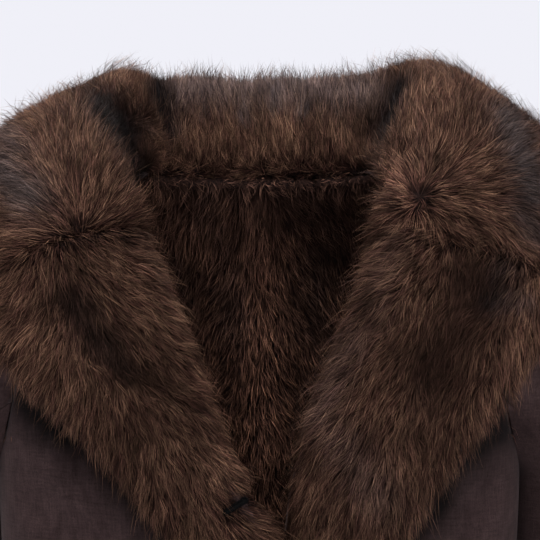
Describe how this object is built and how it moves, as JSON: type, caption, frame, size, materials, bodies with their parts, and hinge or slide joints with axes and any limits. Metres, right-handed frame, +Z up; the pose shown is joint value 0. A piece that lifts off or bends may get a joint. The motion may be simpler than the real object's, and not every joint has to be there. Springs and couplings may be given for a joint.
{
  "type": "faux suede jacket",
  "caption": "Hip-length faux suede jacket with a wide faux fur collar and turned-back fur lapels, a fur lining, set-in sleeves and a buttoned front, shaped as worn.",
  "frame": {"origin": "on the centre plane, level with the back neck seam and above the shoulder seams, where the wearer's shoulders carry the jacket", "axes": "+Z up, +X towards the wearer's left, the wearer faces -Y; the front-to-back depth lies along Y"},
  "size_m": [0.7182, 0.3192, 0.7574],
  "materials": {
    "faux_suede": "short brushed nap, dark mauve brown",
    "faux_fur": "long brown pile with lighter tips",
    "fur_lining": "long reddish brown pile",
    "button_horn": "dark brown, semi-matt"
  },
  "bodies": {
    "root": {"back_panel": "faux_suede", "right_front": "faux_suede", "left_front": "faux_suede", "right_lapel_under": "faux_suede", "left_lapel_under": "faux_suede", "under_collar": "faux_suede", "right_sleeve_top": "faux_suede", "right_sleeve_under": "faux_suede", "left_sleeve_top": "faux_suede", "left_sleeve_under": "faux_suede", "collar": "faux_fur", "right_lapel": "faux_fur", "left_lapel": "faux_fur", "back_lining": "fur_lining", "right_front_lining": "fur_lining", "left_front_lining": "fur_lining", "button_upper": "button_horn", "button_lower": "button_horn"}
  },
  "joints": []
}
